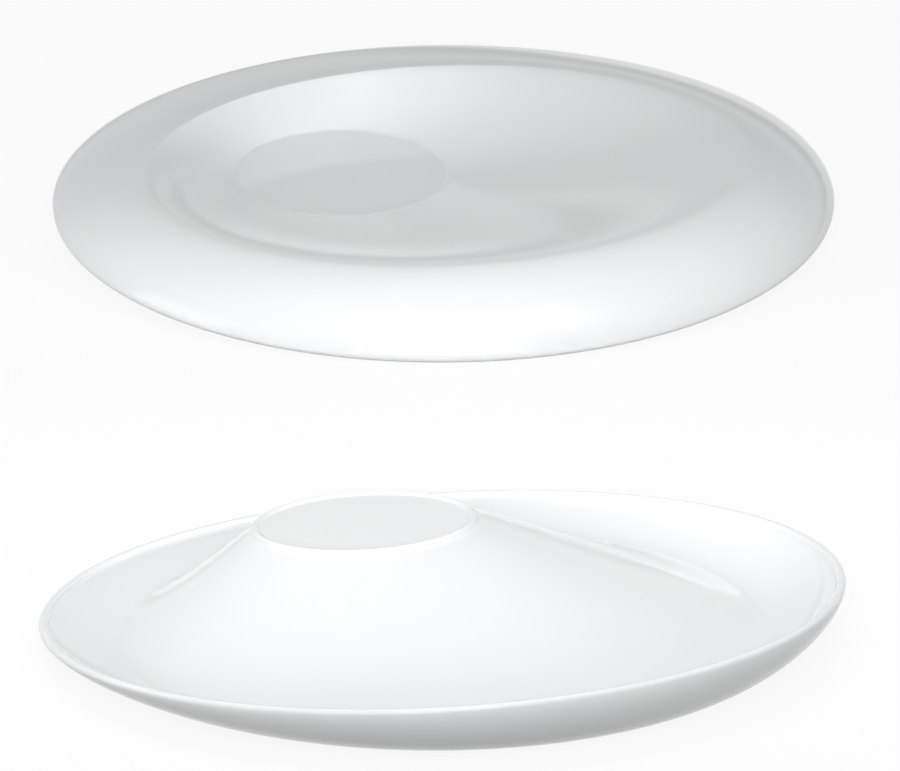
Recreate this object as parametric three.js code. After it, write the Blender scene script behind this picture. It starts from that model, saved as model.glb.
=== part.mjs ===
import * as THREE from 'three';

// A pair of equal porcelain risotto plates on a table. One stands upright and one lies turned over.
// Lengths are millimetres and the table is the plane z = 0.
// A plate is built standing on its foot ring, with the lowest part of its rim towards +x.

// Rim. Its plane leans, and its middle is rimHeight above the table.
const rimRadius = 150;
const rimHeight = 17.3;
const rimLean = THREE.MathUtils.degToRad(4.6);
const lipWidth = 3.6;

// Wall, and the ground ring that the plate stands on
const wall = 4;
const footRadius = 116;
const footWidth = 2.4;

// Roundness of the shoulder between foot and rim: 1 is a quarter ellipse, more is a flatter chamfer.
const shoulderPower = 1.33;

// Mound. Its round top is parallel to the rim's plane, and its flank flares out to the foot.
// It stands a little round from the rim's lowest part.
const moundTurn = THREE.MathUtils.degToRad(-13);
const moundTopRadius = 42;
const moundTopOffset = 67.2;
const moundTopRise = 14.8;
const moundEdgeRound = 1.4;
const moundTopDish = 1.1;
const moundTopCove = 2.2;
const flankFlare = 1.35;

// Hollow under the mound: how much narrower its mouth is than the mound's top, and the wall over it
const hollowInset = 1;
const hollowFillet = 1;
const moundTopWall = 3;

// How the pair lies on the table: which way each mound points, counted from the right, and which
// way the upturned plate is propped up.
const plateDistance = 470;
const plateSideStep = 1.4;
const frontTurn = THREE.MathUtils.degToRad(115);
const backTurn = THREE.MathUtils.degToRad(125.4);
const proppedTurn = THREE.MathUtils.degToRad(92);

// Fineness of the surface
const cornersPerRing = 64;
const flankSteps = 10;
const shoulderSteps = 7;
const roundSteps = 4;

// Places worked out from the sizes above
const rimMiddle = rimHeight * Math.sin(rimLean);
const moundForward = moundTopOffset * Math.cos(moundTurn) * Math.cos(rimLean);
const moundMiddle = {
  x: rimMiddle + moundForward + moundTopRise * Math.sin(rimLean),
  y: moundTopOffset * Math.sin(moundTurn),
};

// Height at x of the plane that lies lift above the rim's plane
function leaningPlane(x, lift) {
  return rimHeight + lift / Math.cos(rimLean) - (x - rimMiddle) * Math.tan(rimLean);
}

// A ring is a circle about a middle. Its share says how far it has gone from the level plane
// at height base (0) to the leaning plane at that lift (1).
function makeRing(middle, radius, share, lift, base) {
  return {
    x: middle.x,
    y: middle.y,
    radius,
    z: base + share * (leaningPlane(middle.x, lift) - base),
    lean: Math.atan(share * Math.tan(rimLean)),
  };
}

// The point on the rim's axis that has gone that share of the way from the foot to the rim
function axisPoint(share) {
  return { x: rimMiddle * share, y: 0 };
}

// The values 0 to 1 in equal steps
function steps(count) {
  return Array.from({ length: count + 1 }, (unused, index) => index / count);
}

// The sunk disc on top of the mound and the rounded edge around it
function moundTopRings() {
  const edgeMiddle = moundTopRadius - moundEdgeRound;
  const floorLift = moundTopRise - moundTopDish;
  const cove = steps(roundSteps).map((t) => {
    const rise = (1 - Math.cos(Math.PI * t)) / 2;
    return makeRing(moundMiddle, edgeMiddle - moundTopCove * (1 - t), 1, floorLift + moundTopDish * rise, 0);
  });
  const edge = steps(roundSteps).slice(1).map((t) => {
    const turn = (Math.PI / 2) * t;
    const lift = moundTopRise - moundEdgeRound * (1 - Math.cos(turn));
    return makeRing(moundMiddle, edgeMiddle + moundEdgeRound * Math.sin(turn), 1, lift, 0);
  });
  return [...cove, ...edge];
}

// The flank from the mound's top circle down to a circle around the foot
function flankRings(topRadius, bottomRadius, lift, base) {
  return steps(flankSteps).map((t) => {
    const middle = { x: moundMiddle.x * (1 - t), y: moundMiddle.y * (1 - t) };
    const radius = THREE.MathUtils.lerp(topRadius, bottomRadius, t);
    return makeRing(middle, radius, (1 - t) ** flankFlare, lift, base);
  });
}

// The rounded shoulder from a level circle near the foot up to a circle near the rim
function shoulderRings(bottomRadius, topRadius, lift, base) {
  return steps(shoulderSteps).map((t) => {
    const turn = (Math.PI / 2) * t;
    const out = Math.sin(turn) ** shoulderPower;
    const share = 1 - Math.cos(turn) ** shoulderPower;
    const radius = THREE.MathUtils.lerp(bottomRadius, topRadius, out);
    return makeRing(axisPoint(share), radius, share, lift, base);
  });
}

// The half round lip of the rim
function lipRings() {
  const half = lipWidth / 2;
  return steps(2 * roundSteps).slice(1, -1).map((t) => {
    const turn = Math.PI * t;
    const radius = rimRadius - half - half * Math.cos(turn);
    return makeRing(axisPoint(1), radius, 1, half * (Math.sin(turn) - 1), 0);
  });
}

// The fillet between the flank's inside and the flat ceiling of the hollow
function hollowRings(hollowRadius, lift) {
  return steps(roundSteps).slice(1).map((t) => {
    const turn = (Math.PI / 2) * t;
    const radius = hollowRadius - hollowFillet * (1 - Math.cos(turn));
    return makeRing(moundMiddle, radius, 1, lift + hollowFillet * Math.sin(turn), 0);
  });
}

// All rings of the plate, from the middle of the mound's top over the rim to the hollow below
function plateRings() {
  const half = lipWidth / 2;
  const wellRadius = footRadius + wall;
  const hollowRadius = moundTopRadius - hollowInset;
  const ceilingLift = moundTopRise - moundTopDish - moundTopWall;
  const upper = [
    ...moundTopRings(),
    ...flankRings(moundTopRadius, wellRadius, moundTopRise - moundEdgeRound, wall).slice(1),
    ...shoulderRings(wellRadius, rimRadius - lipWidth, -half, wall).slice(1),
  ];
  const lower = [
    ...shoulderRings(footRadius + footWidth / 2, rimRadius, -half, 0).reverse(),
    ...flankRings(hollowRadius, footRadius - footWidth / 2, ceilingLift - hollowFillet, 0).reverse(),
    ...hollowRings(hollowRadius, ceilingLift - hollowFillet),
  ];
  return [...upper, ...lipRings(), ...lower];
}

// One closed surface over a list of rings, with a fan over the first and the last ring
function surfaceOver(rings) {
  const points = [];
  const triangles = [];
  for (const ring of rings) {
    for (let corner = 0; corner < cornersPerRing; corner += 1) {
      const angle = (2 * Math.PI * corner) / cornersPerRing;
      const along = ring.radius * Math.cos(angle);
      points.push(ring.x + along * Math.cos(ring.lean));
      points.push(ring.y + ring.radius * Math.sin(angle));
      points.push(ring.z - along * Math.sin(ring.lean));
    }
  }
  for (let row = 0; row < rings.length - 1; row += 1) {
    for (let corner = 0; corner < cornersPerRing; corner += 1) {
      const next = (corner + 1) % cornersPerRing;
      const inner = row * cornersPerRing;
      const outer = inner + cornersPerRing;
      triangles.push(inner + corner, outer + corner, outer + next);
      triangles.push(inner + corner, outer + next, inner + next);
    }
  }
  const topMiddle = points.length / 3;
  const underMiddle = topMiddle + 1;
  const lastRow = (rings.length - 1) * cornersPerRing;
  const last = rings[rings.length - 1];
  points.push(rings[0].x, rings[0].y, rings[0].z);
  points.push(last.x, last.y, last.z);
  for (let corner = 0; corner < cornersPerRing; corner += 1) {
    const next = (corner + 1) % cornersPerRing;
    triangles.push(topMiddle, corner, next);
    triangles.push(underMiddle, lastRow + next, lastRow + corner);
  }
  const geometry = new THREE.BufferGeometry();
  geometry.setAttribute('position', new THREE.Float32BufferAttribute(points, 3));
  geometry.setIndex(triangles);
  geometry.computeVertexNormals();
  return geometry;
}

// White glazed porcelain
function glaze() {
  return new THREE.MeshStandardMaterial({ color: 0xf3f4f4, roughness: 0.12, metalness: 0 });
}

function makePlate(name) {
  const plate = new THREE.Mesh(surfaceOver(plateRings()), glaze());
  plate.name = name;
  return plate;
}

// Angle between the rim's plane and the table when the plate lies face down. It then rests on
// the rim and on the near edge of the mound's top, which are both rounded.
function faceDownLean() {
  const half = lipWidth / 2;
  const moundAway = moundTopOffset * Math.cos(backTurn - proppedTurn);
  const run = rimRadius - half + moundAway - moundTopRadius + moundEdgeRound;
  const rise = moundTopRise - moundEdgeRound + half;
  const span = Math.hypot(run, rise);
  return Math.atan2(rise, run) + Math.asin((moundEdgeRound - half) / span);
}

// What it wraps, turned about the vertical
function turned(child, angle) {
  const group = new THREE.Group();
  group.rotation.z = angle;
  group.add(child);
  return group;
}

// What it wraps, turned about the y axis
function tipped(child, angle) {
  const group = new THREE.Group();
  group.rotation.y = angle;
  group.add(child);
  return group;
}

// The upright plate, turned about the vertical through the middle of its rim
function makeUpright() {
  const plate = makePlate('upright_plate');
  plate.position.set(-rimMiddle, 0, 0);
  const stand = turned(plate, frontTurn - moundTurn);
  stand.position.set(-plateSideStep / 2, -plateDistance / 2, 0);
  return stand;
}

// The other plate, turned over with its rim level, then propped up on its mound and set on the table
function makeUpturned() {
  const plate = makePlate('upturned_plate');
  plate.position.set(-rimMiddle, 0, -rimHeight);
  const level = tipped(plate, Math.PI - rimLean);
  const aimed = turned(level, Math.PI + backTurn + moundTurn - proppedTurn);
  const stand = turned(tipped(aimed, -faceDownLean()), proppedTurn);
  stand.position.set(plateSideStep / 2, plateDistance / 2, 0);
  stand.position.z = -new THREE.Box3().setFromObject(stand, true).min.z;
  return stand;
}

// The pair, centred on the origin of the table plane
function makePair() {
  const pair = new THREE.Group();
  pair.add(makeUpright(), makeUpturned());
  const middle = new THREE.Box3().setFromObject(pair, true).getCenter(new THREE.Vector3());
  pair.position.set(-middle.x, -middle.y, 0);
  return pair;
}

export default makePair();
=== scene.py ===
import bmesh
import bpy
import math
from mathutils import Matrix, Vector


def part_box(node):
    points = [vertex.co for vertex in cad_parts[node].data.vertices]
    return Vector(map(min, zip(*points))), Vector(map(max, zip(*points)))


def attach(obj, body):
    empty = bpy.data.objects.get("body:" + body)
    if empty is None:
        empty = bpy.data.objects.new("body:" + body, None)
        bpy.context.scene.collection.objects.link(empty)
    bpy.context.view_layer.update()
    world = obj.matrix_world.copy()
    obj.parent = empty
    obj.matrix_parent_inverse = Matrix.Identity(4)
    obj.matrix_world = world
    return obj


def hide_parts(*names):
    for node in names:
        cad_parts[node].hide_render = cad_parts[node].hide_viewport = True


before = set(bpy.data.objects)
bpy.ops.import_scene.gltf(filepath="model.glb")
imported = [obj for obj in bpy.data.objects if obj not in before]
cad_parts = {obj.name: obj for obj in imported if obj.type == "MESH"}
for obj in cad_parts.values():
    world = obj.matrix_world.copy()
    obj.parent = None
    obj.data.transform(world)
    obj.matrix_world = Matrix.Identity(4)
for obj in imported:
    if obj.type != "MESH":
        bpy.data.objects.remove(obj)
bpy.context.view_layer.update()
mm = 0.001
print("frame loaded")


# A plate stands on its foot ring, with the lowest part of its rim towards +x.
# Lengths are millimetres and angles are degrees.
plate = {
    "rimRadius": 150.0, "rimHeight": 17.3, "rimLean": 4.6, "lipWidth": 3.6,
    "wall": 4.0, "footRadius": 116.0, "footWidth": 2.4, "shoulderPower": 1.33,
    "moundTurn": -13.0, "moundTopRadius": 42.0, "moundTopOffset": 67.2, "moundTopRise": 14.8,
    "moundEdgeRound": 1.4, "moundTopDish": 1.1, "moundTopCove": 2.2, "flankFlare": 1.35,
    "hollowInset": 1.0, "hollowStep": 0.25, "hollowCove": 0.9, "moundTopWall": 3.0,
    "cornersPerRing": 224, "flankSteps": 44, "shoulderSteps": 40, "roundSteps": 10,
}
discShares = (0, 0.25, 0.5, 0.75)  # rings inside a flat disc, as shares of its radius
footShares = (0.15, 0.5, 0.85)  # rings on the ground face of the foot, across its width

rimLean = math.radians(plate["rimLean"])
moundTurn = math.radians(plate["moundTurn"])
rimMiddle = plate["rimHeight"] * math.sin(rimLean)
moundForward = plate["moundTopOffset"] * math.cos(moundTurn) * math.cos(rimLean)
moundMiddle = (
    rimMiddle + moundForward + plate["moundTopRise"] * math.sin(rimLean),
    plate["moundTopOffset"] * math.sin(moundTurn),
)


# Height at x of the plane that lies lift above the rim's plane
def leaningPlane(x, lift):
    return plate["rimHeight"] + lift / math.cos(rimLean) - (x - rimMiddle) * math.tan(rimLean)


# x, y, z of the middle, radius, lean, and whether the glaze is ground off here.
# The share says how far the ring has gone from level at the base to the leaning plane.
def makeRing(middle, radius, share, lift, base, bare=0.0):
    z = base + share * (leaningPlane(middle[0], lift) - base)
    return (middle[0], middle[1], z, radius, math.atan(share * math.tan(rimLean)), bare)


def steps(count):
    return [index / count for index in range(count + 1)]


def mix(low, high, t):
    return low + (high - low) * t


# A rise from 0 to 1 that starts and ends flat
def ease(t):
    return (1 - math.cos(math.pi * t)) / 2


# The sunk disc on top of the mound and the rounded edge around it
def moundTopRings():
    edge = plate["moundTopRadius"] - plate["moundEdgeRound"]
    disc = edge - plate["moundTopCove"]
    floor = plate["moundTopRise"] - plate["moundTopDish"]
    rings = [makeRing(moundMiddle, share * disc, 1, floor, 0) for share in discShares]
    for t in steps(plate["roundSteps"]):
        radius = edge - plate["moundTopCove"] * (1 - t)
        rings.append(makeRing(moundMiddle, radius, 1, floor + plate["moundTopDish"] * ease(t), 0))
    for t in steps(plate["roundSteps"])[1:]:
        turn = math.pi / 2 * t
        radius = edge + plate["moundEdgeRound"] * math.sin(turn)
        lift = plate["moundTopRise"] - plate["moundEdgeRound"] * (1 - math.cos(turn))
        rings.append(makeRing(moundMiddle, radius, 1, lift, 0))
    return rings


# The flank from the mound's top circle down to a level circle near the foot
def flankRings(topRadius, bottomRadius, lift, base):
    rings = []
    for t in steps(plate["flankSteps"]):
        middle = (moundMiddle[0] * (1 - t), moundMiddle[1] * (1 - t))
        share = (1 - t) ** plate["flankFlare"]
        rings.append(makeRing(middle, mix(topRadius, bottomRadius, t), share, lift, base))
    return rings


# The rounded shoulder from a level circle near the foot up to a circle near the rim
def shoulderRings(bottomRadius, topRadius, lift, base):
    rings = []
    for t in steps(plate["shoulderSteps"]):
        turn = math.pi / 2 * t
        out = math.sin(turn) ** plate["shoulderPower"]
        share = 1 - max(math.cos(turn), 0) ** plate["shoulderPower"]
        radius = mix(bottomRadius, topRadius, out)
        rings.append(makeRing((rimMiddle * share, 0), radius, share, lift, base))
    return rings


# The half round lip of the rim
def lipRings():
    half = plate["lipWidth"] / 2
    rings = []
    for t in steps(2 * plate["roundSteps"])[1:-1]:
        turn = math.pi * t
        radius = plate["rimRadius"] - half - half * math.cos(turn)
        rings.append(makeRing((rimMiddle, 0), radius, 1, half * (math.sin(turn) - 1), 0))
    return rings


# The flat ceiling of the hollow under the mound, with a low soft step around it
def hollowRings(hollowRadius, lift):
    inner = hollowRadius - plate["hollowCove"]
    ceiling = lift + plate["hollowStep"]
    rings = []
    for t in steps(plate["roundSteps"])[1:]:
        radius = hollowRadius - plate["hollowCove"] * t
        rings.append(makeRing(moundMiddle, radius, 1, lift + plate["hollowStep"] * ease(t), 0))
    rings += [makeRing(moundMiddle, share * inner, 1, ceiling, 0) for share in discShares[::-1]]
    return rings


# All rings of the plate, from the middle of the mound's top over the rim to the hollow below
def plateRings():
    lipDrop = -plate["lipWidth"] / 2
    wellRadius = plate["footRadius"] + plate["wall"]
    wellTop = plate["rimRadius"] - plate["lipWidth"]
    flankTop = plate["moundTopRise"] - plate["moundEdgeRound"]
    hollowRadius = plate["moundTopRadius"] - plate["hollowInset"]
    ceiling = plate["moundTopRise"] - plate["moundTopDish"] - plate["moundTopWall"]
    hollowTop = ceiling - plate["hollowStep"]
    footOuter = plate["footRadius"] + plate["footWidth"] / 2
    footInner = plate["footRadius"] - plate["footWidth"] / 2
    rings = moundTopRings()
    rings += flankRings(plate["moundTopRadius"], wellRadius, flankTop, plate["wall"])[1:]
    rings += shoulderRings(wellRadius, wellTop, lipDrop, plate["wall"])[1:]
    rings += lipRings()
    rings += shoulderRings(footOuter, plate["rimRadius"], lipDrop, 0)[::-1]
    rings += [makeRing((0, 0), mix(footOuter, footInner, t), 0, 0, 0, 1.0) for t in footShares]
    rings += flankRings(hollowRadius, footInner, hollowTop, 0)[::-1]
    rings += hollowRings(hollowRadius, hollowTop)
    return rings


# Turns a row of ring points into one closed surface: a grid has one row for each ring, each
# row is bent round into its ring, and the doubled seam and the two poles are merged.
def ringSweep(name):
    tree = bpy.data.node_groups.new(name, "GeometryNodeTree")
    face = tree.interface
    face.new_socket(name="Ring points", in_out="INPUT", socket_type="NodeSocketGeometry")
    face.new_socket(name="Corners", in_out="INPUT", socket_type="NodeSocketInt")
    face.new_socket(name="Glaze", in_out="INPUT", socket_type="NodeSocketMaterial")
    face.new_socket(name="Bare", in_out="INPUT", socket_type="NodeSocketMaterial")
    face.new_socket(name="Surface", in_out="OUTPUT", socket_type="NodeSocketGeometry")
    links = tree.links
    nudge = 0.25  # keeps a row's number from falling just below a whole one
    samePoint = 0.001 * mm  # points nearer than this are merged
    mostlyBare = 0.5

    def calc(operation, a, b=None):
        node = addNode(tree, "ShaderNodeMath", operation=operation)
        for socket, value in zip(node.inputs, (a, b)):
            if isinstance(value, (int, float)):
                socket.default_value = value
            elif value is not None:
                links.new(value, socket)
        return node.outputs[0]

    source = addNode(tree, "NodeGroupInput")
    size = addNode(tree, "GeometryNodeAttributeDomainSize", component="MESH")
    links.new(source.outputs["Ring points"], size.inputs[0])
    perRing = calc("ADD", source.outputs["Corners"], 1)
    grid = addNode(tree, "GeometryNodeMeshGrid")
    links.new(size.outputs["Point Count"], grid.inputs["Vertices X"])
    links.new(perRing, grid.inputs["Vertices Y"])
    index = addNode(tree, "GeometryNodeInputIndex").outputs[0]
    row = calc("FLOOR", calc("DIVIDE", calc("ADD", index, nudge), perRing))
    corner = calc("SUBTRACT", index, calc("MULTIPLY", row, perRing))
    angle = calc("MULTIPLY", calc("DIVIDE", corner, source.outputs["Corners"]), 2 * math.pi)

    # The value that the ring point of this row carries
    def atRow(kind, name=None):
        if name:
            value = addNode(tree, "GeometryNodeInputNamedAttribute", data_type=kind)
            value.inputs["Name"].default_value = name
        else:
            value = addNode(tree, "GeometryNodeInputPosition")
        sample = addNode(tree, "GeometryNodeSampleIndex", data_type=kind, domain="POINT")
        links.new(source.outputs["Ring points"], sample.inputs["Geometry"])
        links.new(value.outputs[0], sample.inputs["Value"])
        links.new(row, sample.inputs["Index"])
        return sample.outputs[0]

    middle = atRow("FLOAT_VECTOR")
    radius = atRow("FLOAT", "ringRadius")
    lean = atRow("FLOAT", "ringLean")
    bare = atRow("FLOAT", "bareFoot")
    along = calc("MULTIPLY", radius, calc("COSINE", angle))
    offset = addNode(tree, "ShaderNodeCombineXYZ")
    links.new(calc("MULTIPLY", along, calc("COSINE", lean)), offset.inputs["X"])
    links.new(calc("MULTIPLY", radius, calc("SINE", angle)), offset.inputs["Y"])
    links.new(calc("MULTIPLY", calc("MULTIPLY", along, -1), calc("SINE", lean)), offset.inputs["Z"])
    place = addNode(tree, "ShaderNodeVectorMath", operation="ADD")
    links.new(middle, place.inputs[0])
    links.new(offset.outputs[0], place.inputs[1])
    move = addNode(tree, "GeometryNodeSetPosition")
    links.new(grid.outputs["Mesh"], move.inputs["Geometry"])
    links.new(place.outputs[0], move.inputs["Position"])
    keep = addNode(tree, "GeometryNodeStoreNamedAttribute", data_type="FLOAT", domain="POINT")
    keep.inputs["Name"].default_value = "bareFoot"
    links.new(move.outputs[0], keep.inputs["Geometry"])
    links.new(bare, keep.inputs["Value"])

    merge = addNode(tree, "GeometryNodeMergeByDistance")
    merge.inputs["Distance"].default_value = samePoint
    links.new(keep.outputs[0], merge.inputs["Geometry"])
    smooth = addNode(tree, "GeometryNodeSetShadeSmooth")
    links.new(merge.outputs[0], smooth.inputs["Geometry"])
    real = addNode(tree, "GeometryNodeRealizeInstances")
    links.new(smooth.outputs[0], real.inputs[0])
    glazed = addNode(tree, "GeometryNodeSetMaterial")
    links.new(real.outputs[0], glazed.inputs["Geometry"])
    links.new(source.outputs["Glaze"], glazed.inputs["Material"])
    foot = addNode(tree, "GeometryNodeInputNamedAttribute", data_type="FLOAT")
    foot.inputs["Name"].default_value = "bareFoot"
    ground = addNode(tree, "GeometryNodeSetMaterial")
    links.new(calc("GREATER_THAN", foot.outputs[0], mostlyBare), ground.inputs["Selection"])
    links.new(glazed.outputs[0], ground.inputs["Geometry"])
    links.new(source.outputs["Bare"], ground.inputs["Material"])
    result = addNode(tree, "NodeGroupOutput")
    links.new(ground.outputs[0], result.inputs[0])
    return tree


def addNode(tree, kind, **values):
    node = tree.nodes.new(kind)
    for key, value in values.items():
        setattr(node, key, value)
    return node


# Finishes: the glaze, and the clay of the foot ring where the glaze is ground off
glaze = {
    "colour": (0.893, 0.903, 0.908), "pooled": (0.870, 0.885, 0.895),
    "roughLow": 0.05, "roughHigh": 0.09, "ripple": 0.04,
}
biscuit = {
    "colour": (0.900, 0.903, 0.900), "pooled": (0.885, 0.888, 0.884),
    "roughLow": 0.1, "roughHigh": 0.16, "ripple": 0.08,
}

# What firing does to both. Noise scales count cells to a metre.
kiln = {
    "driftScale": 9, "driftDetail": 3, "driftFrom": 0.4, "driftTo": 0.75,
    "roughScale": 26, "roughDetail": 4, "rippleScale": 340, "rippleDetail": 2,
    "rippleHeight": 0.2 * mm, "refraction": 1.5,
}


# Slow tone drift, roughness drift and a fine ripple, shared by glaze and bare clay
def kilnDetail():
    group = bpy.data.node_groups.new("kilnDetail", "ShaderNodeTree")
    for name, kind in (("Colour", "NodeSocketColor"), ("Pooled", "NodeSocketColor"),
                       ("Rough low", "NodeSocketFloat"), ("Rough high", "NodeSocketFloat")):
        group.interface.new_socket(name=name, in_out="INPUT", socket_type=kind)
    for name, kind in (("Colour", "NodeSocketColor"), ("Roughness", "NodeSocketFloat"),
                       ("Height", "NodeSocketFloat")):
        group.interface.new_socket(name=name, in_out="OUTPUT", socket_type=kind)
    links = group.links
    source, result = addNode(group, "NodeGroupInput"), addNode(group, "NodeGroupOutput")
    spot = addNode(group, "ShaderNodeTexCoord").outputs["Object"]

    def noise(scale, detail):
        node = addNode(group, "ShaderNodeTexNoise")
        node.inputs["Scale"].default_value = scale
        node.inputs["Detail"].default_value = detail
        links.new(spot, node.inputs["Vector"])
        return node.outputs["Fac"]

    spread = addNode(group, "ShaderNodeMapRange")
    spread.inputs["From Min"].default_value = kiln["driftFrom"]
    spread.inputs["From Max"].default_value = kiln["driftTo"]
    links.new(noise(kiln["driftScale"], kiln["driftDetail"]), spread.inputs["Value"])
    tone = blendColour(group, spread.outputs[0], source.outputs["Colour"], source.outputs["Pooled"])
    links.new(tone, result.inputs["Colour"])
    rough = addNode(group, "ShaderNodeMapRange")
    links.new(noise(kiln["roughScale"], kiln["roughDetail"]), rough.inputs["Value"])
    links.new(source.outputs["Rough low"], rough.inputs["To Min"])
    links.new(source.outputs["Rough high"], rough.inputs["To Max"])
    links.new(rough.outputs[0], result.inputs["Roughness"])
    links.new(noise(kiln["rippleScale"], kiln["rippleDetail"]), result.inputs["Height"])
    return group


# Mixes two greys or colours, each a value or a socket
def blendColour(tree, factor, low, high):
    node = addNode(tree, "ShaderNodeMix", data_type="RGBA")
    tree.links.new(factor, node.inputs["Factor"])
    for socket, value in ((node.inputs[6], low), (node.inputs[7], high)):
        if isinstance(value, float):
            socket.default_value = (value, value, value, 1)
        else:
            tree.links.new(value, socket)
    return node.outputs[2]


def firedClay(name, values, group):
    material = bpy.data.materials.new(name)
    material.use_nodes = True
    tree = material.node_tree
    shader = tree.nodes["Principled BSDF"]
    detail = addNode(tree, "ShaderNodeGroup")
    detail.node_tree = group
    detail.inputs["Colour"].default_value = (*values["colour"], 1)
    detail.inputs["Pooled"].default_value = (*values["pooled"], 1)
    detail.inputs["Rough low"].default_value = values["roughLow"]
    detail.inputs["Rough high"].default_value = values["roughHigh"]
    bump = addNode(tree, "ShaderNodeBump")
    bump.inputs["Strength"].default_value = values["ripple"]
    bump.inputs["Distance"].default_value = kiln["rippleHeight"]
    tree.links.new(detail.outputs["Colour"], shader.inputs["Base Color"])
    tree.links.new(detail.outputs["Roughness"], shader.inputs["Roughness"])
    tree.links.new(detail.outputs["Height"], bump.inputs["Height"])
    tree.links.new(bump.outputs[0], shader.inputs["Normal"])
    shader.inputs["IOR"].default_value = kiln["refraction"]
    return material


clayDetail = kilnDetail()
glazeMaterial = firedClay("glazedPorcelain", glaze, clayDetail)
bareMaterial = firedClay("groundFootRing", biscuit, clayDetail)
print("materials made")


# How the pair lies on the table: the way each mound points, and the way the upturned plate
# slopes up, in degrees counted from the right towards the back
pair = {
    "frontTurn": 115.0, "backTurn": 125.4, "proppedTurn": 92.0,
}


# One plate standing at the origin, as a plain mesh
def makePlateMesh(tree):
    rings = plateRings()
    mesh = bpy.data.meshes.new("ringPoints")
    mesh.from_pydata([[length * mm for length in ring[:3]] for ring in rings], [], [])

    # Each name, its place in a ring, and its unit
    for name, place, unit in (("ringRadius", 3, mm), ("ringLean", 4, 1), ("bareFoot", 5, 1)):
        values = [ring[place] * unit for ring in rings]
        mesh.attributes.new(name, "FLOAT", "POINT").data.foreach_set("value", values)
    holder = bpy.data.objects.new("ringPoints", mesh)
    bpy.context.scene.collection.objects.link(holder)
    modifier = holder.modifiers.new("sweep", "NODES")
    modifier.node_group = tree
    inputs = [item for item in tree.interface.items_tree if item.in_out == "INPUT"]
    socket = {item.name: item.identifier for item in inputs}
    modifier[socket["Corners"]] = plate["cornersPerRing"]
    modifier[socket["Glaze"]] = glazeMaterial
    modifier[socket["Bare"]] = bareMaterial
    depsgraph = bpy.context.evaluated_depsgraph_get()
    result = bpy.data.meshes.new_from_object(holder.evaluated_get(depsgraph))
    bpy.data.objects.remove(holder)
    return result


# Angle between the rim's plane and the table when the plate lies face down. It then rests on
# the rim and on the near edge of the mound's top, which are both rounded.
def faceDownLean():
    half = plate["lipWidth"] / 2
    turnAway = math.radians(pair["backTurn"] - pair["proppedTurn"])
    moundAway = plate["moundTopOffset"] * math.cos(turnAway)
    run = plate["rimRadius"] - half + moundAway - plate["moundTopRadius"] + plate["moundEdgeRound"]
    rise = plate["moundTopRise"] - plate["moundEdgeRound"] + half
    span = math.hypot(run, rise)
    return math.atan2(rise, run) + math.asin((plate["moundEdgeRound"] - half) / span)


def turned(angle, axis):
    return Matrix.Rotation(angle, 4, axis)


frontTurn, backTurn, proppedTurn = (
    math.radians(pair[key]) for key in ("frontTurn", "backTurn", "proppedTurn")
)
uprightPlace = turned(frontTurn - moundTurn, "Z") @ Matrix.Translation((-rimMiddle * mm, 0, 0))
rimToOrigin = Matrix.Translation((-rimMiddle * mm, 0, -plate["rimHeight"] * mm))
upturnedPlace = (
    turned(proppedTurn, "Z") @ turned(-faceDownLean(), "Y")
    @ turned(math.pi + backTurn + moundTurn - proppedTurn, "Z")
    @ turned(math.pi - rimLean, "Y") @ rimToOrigin
)


# Puts a copy where the CAD plate lies: turned as given, then moved onto the middle and the
# floor of its box. Gives back how far it moved.
def placePlate(source, name, node, body, place):
    mesh = source.copy()
    mesh.transform(place)
    low = Vector([min(v.co[axis] for v in mesh.vertices) for axis in range(3)])
    high = Vector([max(v.co[axis] for v in mesh.vertices) for axis in range(3)])
    cadLow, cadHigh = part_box(node)
    shift = (Vector(cadLow) + Vector(cadHigh) - low - high) / 2
    shift.z = cadLow[2] - low.z
    mesh.transform(Matrix.Translation(shift))
    piece = bpy.data.objects.new(name, mesh)
    bpy.context.scene.collection.objects.link(piece)
    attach(piece, body)
    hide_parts(node)
    moved = [round(length / mm, 2) for length in shift]
    print(name, "has", len(mesh.polygons), "faces, moved by", moved, "mm")
    return shift


plateMesh = makePlateMesh(ringSweep("ringSweep"))
uprightShift = placePlate(plateMesh, "uprightPlate", "upright_plate", "upright", uprightPlace)
upturnedShift = placePlate(plateMesh, "upturnedPlate", "upturned_plate", "upturned", upturnedPlace)
bpy.data.meshes.remove(plateMesh)
print("plates placed")


# The camera's tilt and roll are degrees, its lens is millimetres, places in the picture are
# pixels, and the nearest and farthest things it sees are metres away
view = {
    "elevation": 18.85, "roll": 0.4, "pixelsPerMm": 2.65, "lens": 1400.0,
    "middlePixel": (443.0, 398.45), "frameMiddle": (450.0, 385.5), "frameWidth": 900.0,
    "nearest": 0.1, "farthest": 100,
}


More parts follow.
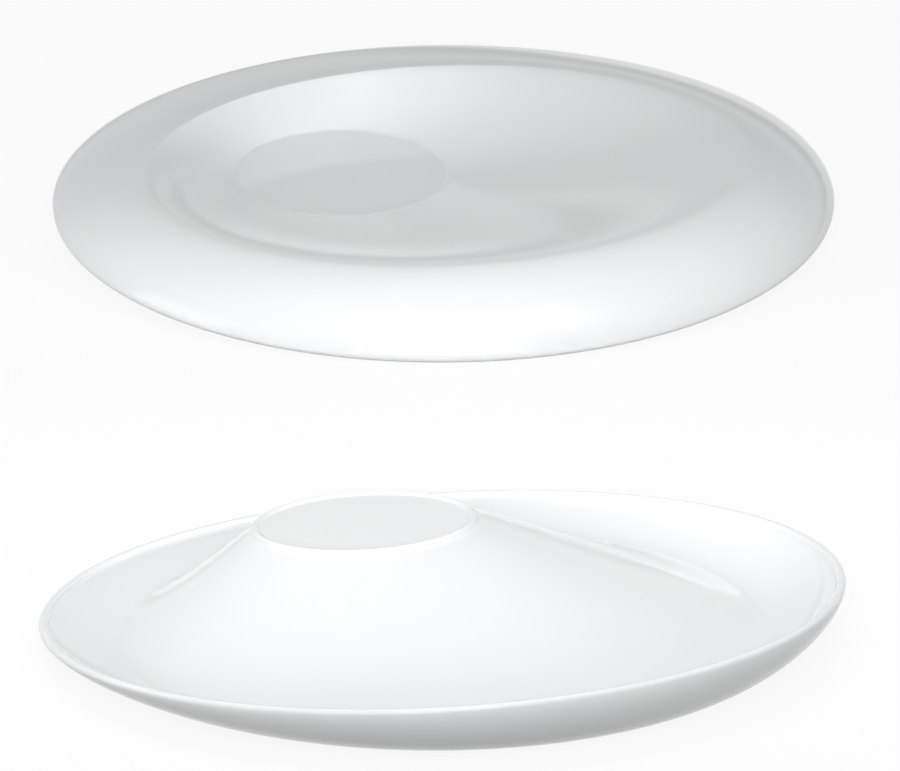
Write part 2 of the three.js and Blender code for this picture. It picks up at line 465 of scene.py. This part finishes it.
# A very long lens, because both plates are equally wide in the photograph
def makeCamera():
    data = bpy.data.cameras.new("camera")
    camera = bpy.data.objects.new("camera", data)
    bpy.context.scene.collection.objects.link(camera)
    bpy.context.scene.camera = camera
    data.lens = view["lens"]
    data.clip_start, data.clip_end = view["nearest"], view["farthest"]
    tilt = math.radians(view["elevation"])
    roll = math.radians(view["roll"])
    toCamera = Vector((0, -math.cos(tilt), math.sin(tilt)))
    levelRight = Vector((1, 0, 0))
    levelUp = Vector((0, math.sin(tilt), math.cos(tilt)))
    right = levelRight * math.cos(roll) - levelUp * math.sin(roll)
    up = levelRight * math.sin(roll) + levelUp * math.cos(roll)
    frontRim = uprightShift + Vector((0, 0, plate["rimHeight"] * mm))
    backRim = upturnedShift  # this plate was turned about the middle of its rim
    aside = view["frameMiddle"][0] - view["middlePixel"][0]
    above = view["middlePixel"][1] - view["frameMiddle"][1]
    pixel = mm / view["pixelsPerMm"]
    aim = (frontRim + backRim) / 2 + (right * aside + up * above) * pixel
    distance = view["frameWidth"] * pixel * data.lens / data.sensor_width
    facing = Matrix((right, up, toCamera)).transposed().to_4x4()
    camera.matrix_world = Matrix.Translation(aim + toCamera * distance) @ facing


makeCamera()


# The room: greys of its walls and ceiling. The wall behind has a grey for each height of the
# direction that looks at it, and each blend says where one grey gives way to the next.
studio = {
    "behind": ((0.0, 0.8), (0.08, 0.5), (0.16, 0.75), (0.25, 0.5), (0.38, 0.42), (0.6, 0.5)),
    "left": 0.56, "right": 0.49, "top": 0.42, "below": 1.0,
    "leftToRight": (-0.7, 0.7), "frontToBehind": (0.0, 0.5),
    "wallToTop": (0.55, 0.85), "belowToWall": (0.0, 0.04),
}
floorValues = {
    "shade": 0.25, "pale": 0.95, "white": 0.9, "radius": 9, "corners": 96,
}

# Places and sizes are metres, spreads are degrees and powers are watts
lamps = {
    "lowBox": {
        "place": (0, -1.7, 0.25), "aim": (0, 0, 0.03), "size": (1.8, 0.3),
        "spread": 180.0, "power": 4.6,
    },
    "frontBox": {
        "place": (0, -0.75, 0.35), "aim": (0, 0.1, 0.02), "size": (1.6, 0.3),
        "spread": 45.0, "power": 1.02,
    },
    "windowBox": {
        "place": (0.19, -0.2, 0.45), "aim": (0, 0.06, 0.02), "size": (0.41, 0.35),
        "spread": 50.0, "power": 0.06,
    },
    "topBox": {
        "place": (0, -0.3, 0.55), "aim": (0, -0.26, 0), "size": (1.0, 0.4),
        "spread": 60.0, "power": 0.43,
    },
    "sideBox": {
        "place": (-1.3, 0, 0.45), "aim": (0, 0, 0), "size": (0.8, 0.6),
        "spread": 180.0, "power": 2.2,
    },
}


# A soft change from 0 to 1 between two values
def ramp(tree, value, reach):
    node = addNode(tree, "ShaderNodeMapRange", interpolation_type="SMOOTHSTEP")
    tree.links.new(value, node.inputs["Value"])
    node.inputs["From Min"].default_value, node.inputs["From Max"].default_value = reach
    return node.outputs[0]


# The grey that belongs to each height
def heightRamp(tree, value, stops):
    node = addNode(tree, "ShaderNodeValToRGB")
    points = node.color_ramp.elements
    for stop in stops[1:-1]:
        points.new(stop[0])
    for point, (height, grey) in zip(points, stops):
        point.position = height
        point.color = (grey, grey, grey, 1)
    tree.links.new(value, node.inputs[0])
    return node.outputs[0]


def makeWorld():
    world = bpy.data.worlds.new("softRoom")
    bpy.context.scene.world = world
    world.use_nodes = True
    tree = world.node_tree
    tree.nodes.clear()
    direction = addNode(tree, "ShaderNodeSeparateXYZ")
    tree.links.new(addNode(tree, "ShaderNodeTexCoord").outputs["Generated"], direction.inputs[0])
    x, y, z = direction.outputs
    behind = heightRamp(tree, z, studio["behind"])
    front = blendColour(tree, ramp(tree, x, studio["leftToRight"]), studio["left"], studio["right"])
    walls = blendColour(tree, ramp(tree, y, studio["frontToBehind"]), front, behind)
    room = blendColour(tree, ramp(tree, z, studio["wallToTop"]), walls, studio["top"])
    whole = blendColour(tree, ramp(tree, z, studio["belowToWall"]), studio["below"], room)
    glow = addNode(tree, "ShaderNodeBackground")
    output = addNode(tree, "ShaderNodeOutputWorld")
    tree.links.new(whole, glow.inputs["Color"])
    tree.links.new(glow.outputs[0], output.inputs[0])


# A grey floor that the camera and reflections see as white, with the plates' shadows kept
def makeFloor():
    mesh = bpy.data.meshes.new("floor")
    shape = bmesh.new()
    bmesh.ops.create_circle(
        shape, cap_ends=True, segments=floorValues["corners"], radius=floorValues["radius"])
    shape.to_mesh(mesh)
    shape.free()
    floor = bpy.data.objects.new("floor", mesh)
    bpy.context.scene.collection.objects.link(floor)
    material = bpy.data.materials.new("paleFloor")
    material.use_nodes = True
    tree = material.node_tree
    tree.nodes.clear()
    matte = addNode(tree, "ShaderNodeBsdfDiffuse")
    white = addNode(tree, "ShaderNodeEmission")
    path = addNode(tree, "ShaderNodeLightPath")
    seen = path.outputs["Is Camera Ray"]
    for name in ("Is Glossy Ray", "Is Transmission Ray"):
        either = addNode(tree, "ShaderNodeMath", operation="MAXIMUM")
        tree.links.new(seen, either.inputs[0])
        tree.links.new(path.outputs[name], either.inputs[1])
        seen = either.outputs[0]
    grey = blendColour(tree, seen, floorValues["shade"], floorValues["pale"])
    tree.links.new(grey, matte.inputs["Color"])
    share = addNode(tree, "ShaderNodeMath", operation="MULTIPLY")
    tree.links.new(seen, share.inputs[0])
    share.inputs[1].default_value = floorValues["white"]
    blend = addNode(tree, "ShaderNodeMixShader")
    output = addNode(tree, "ShaderNodeOutputMaterial")
    tree.links.new(share.outputs[0], blend.inputs[0])
    tree.links.new(matte.outputs[0], blend.inputs[1])
    tree.links.new(white.outputs[0], blend.inputs[2])
    tree.links.new(blend.outputs[0], output.inputs[0])
    mesh.materials.append(material)


# A soft box that lights the plates and shows only in their gloss
def softBox(name, values):
    data = bpy.data.lights.new(name, "AREA")
    data.shape = "RECTANGLE"
    data.size, data.size_y = values["size"]
    data.energy = values["power"]
    data.spread = math.radians(values["spread"])
    lamp = bpy.data.objects.new(name, data)
    place = Vector(values["place"])
    lamp.location = place
    lamp.rotation_euler = (Vector(values["aim"]) - place).to_track_quat("-Z", "Y").to_euler()
    lamp.visible_camera = False
    bpy.context.scene.collection.objects.link(lamp)


makeWorld()
makeFloor()
for name, values in lamps.items():
    softBox(name, values)
bpy.context.scene.view_settings.view_transform = "Standard"
print("studio lit")
